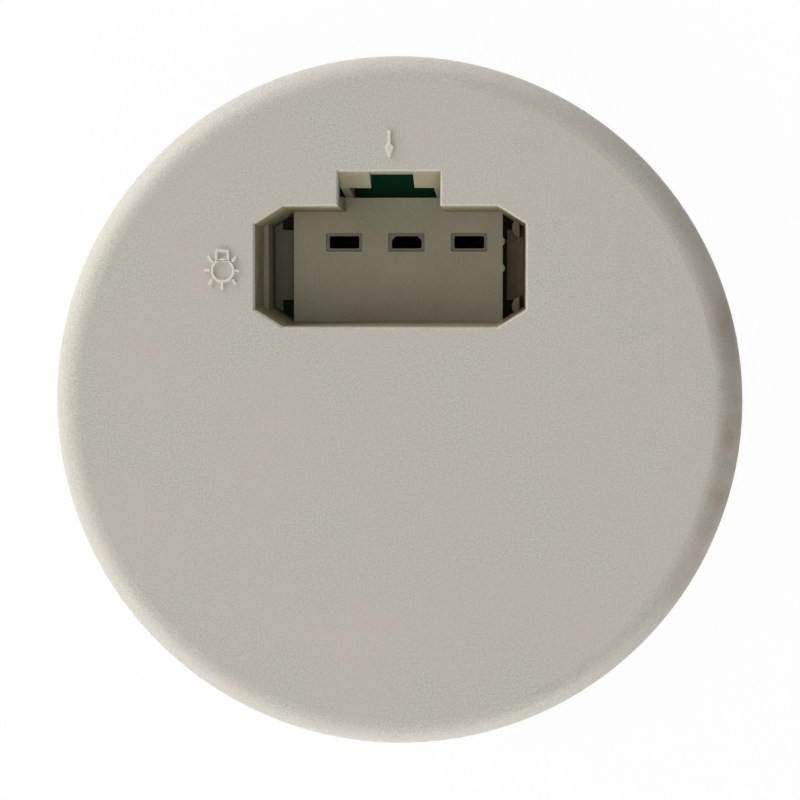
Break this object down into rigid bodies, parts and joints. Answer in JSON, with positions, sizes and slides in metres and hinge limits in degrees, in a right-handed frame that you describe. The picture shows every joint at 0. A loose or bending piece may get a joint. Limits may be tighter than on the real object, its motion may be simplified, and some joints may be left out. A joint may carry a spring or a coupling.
{
  "type": "ceiling light point box",
  "caption": "Round flush ceiling box with a pull-off cover, a polarised luminaire plug recess, wire terminals behind it and claws that grip a plasterboard ceiling.",
  "frame": {"origin": "centre of the box's flat back, on the surface that the box stands on", "axes": "+Z out of the ceiling through the front of the cover, +X to the picture's right and +Y to its top"},
  "size_m": [0.088, 0.088, 0.045],
  "materials": {
    "cover_plastic": "fine matt grain",
    "green_plastic": "moulded satin",
    "box_plastic": "moulded satin",
    "membrane_rubber": "soft matt",
    "contact_brass": "bright stamped",
    "spring_steel": "rolled strip",
    "zinc_steel": "bright zinc plate",
    "button_plastic": "moulded gloss"
  },
  "bodies": {
    "box": {"box_body": "box_plastic", "suspension_insert": "zinc_steel", "membrane_right": "membrane_rubber", "membrane_left": "membrane_rubber", "membrane_top": "membrane_rubber", "membrane_bottom": "membrane_rubber"},
    "cover": {"cover": "cover_plastic", "socket_base": "green_plastic", "terminal_lid": "green_plastic", "contact_left": "contact_brass", "contact_middle": "contact_brass", "contact_right": "contact_brass", "clamp_spring_left": "spring_steel", "clamp_spring_middle": "spring_steel", "clamp_spring_right": "spring_steel"},
    "screw_left": {"claw_screw_left": "zinc_steel"},
    "nut_left": {"claw_nut_left": "zinc_steel"},
    "claw_left": {"claw_left": "zinc_steel"},
    "screw_right": {"claw_screw_right": "zinc_steel"},
    "nut_right": {"claw_nut_right": "zinc_steel"},
    "claw_right": {"claw_right": "zinc_steel"},
    "button_left": {"release_button_left": "button_plastic"},
    "button_middle": {"release_button_middle": "button_plastic"},
    "button_right": {"release_button_right": "button_plastic"}
  },
  "joints": [
    {"name": "cover_pull", "type": "slide", "parent": "box", "child": "cover", "axis": [0, 0, 1], "range_m": [0, 0.06]},
    {"name": "screw_turn_left", "type": "hinge", "parent": "box", "child": "screw_left", "pos_m": [-0.0286, 0, 0.0384], "axis": [0, 0, -1], "range_deg": [0, 8640.01]},
    {"name": "nut_climb_left", "type": "slide", "parent": "box", "child": "nut_left", "axis": [0, 0, 1], "range_m": [0, 0.0168]},
    {"name": "claw_swing_left", "type": "hinge", "parent": "nut_left", "child": "claw_left", "pos_m": [-0.0286, 0, 0.0105], "axis": [0, 0, -1], "range_deg": [0, 90]},
    {"name": "screw_turn_right", "type": "hinge", "parent": "box", "child": "screw_right", "pos_m": [0.0286, 0, 0.0384], "axis": [0, 0, -1], "range_deg": [0, 8640.01]},
    {"name": "nut_climb_right", "type": "slide", "parent": "box", "child": "nut_right", "axis": [0, 0, 1], "range_m": [0, 0.0168]},
    {"name": "claw_swing_right", "type": "hinge", "parent": "nut_right", "child": "claw_right", "pos_m": [0.0286, 0, 0.0105], "axis": [0, 0, -1], "range_deg": [0, 90]},
    {"name": "button_press_left", "type": "slide", "parent": "cover", "child": "button_left", "axis": [0, 0, 1], "range_m": [0, 0.0016], "stiffness_N_per_m": 600, "deforming": ["clamp_spring_left"]},
    {"name": "button_press_middle", "type": "slide", "parent": "cover", "child": "button_middle", "axis": [0, 0, 1], "range_m": [0, 0.0016], "stiffness_N_per_m": 600, "deforming": ["clamp_spring_middle"]},
    {"name": "button_press_right", "type": "slide", "parent": "cover", "child": "button_right", "axis": [0, 0, 1], "range_m": [0, 0.0016], "stiffness_N_per_m": 600, "deforming": ["clamp_spring_right"]}
  ],
  "couplings": [
    {"joint": "screw_turn_left", "follows": "nut_climb_left", "rad_per_m": 8976},
    {"joint": "screw_turn_right", "follows": "nut_climb_right", "rad_per_m": 8976}
  ]
}
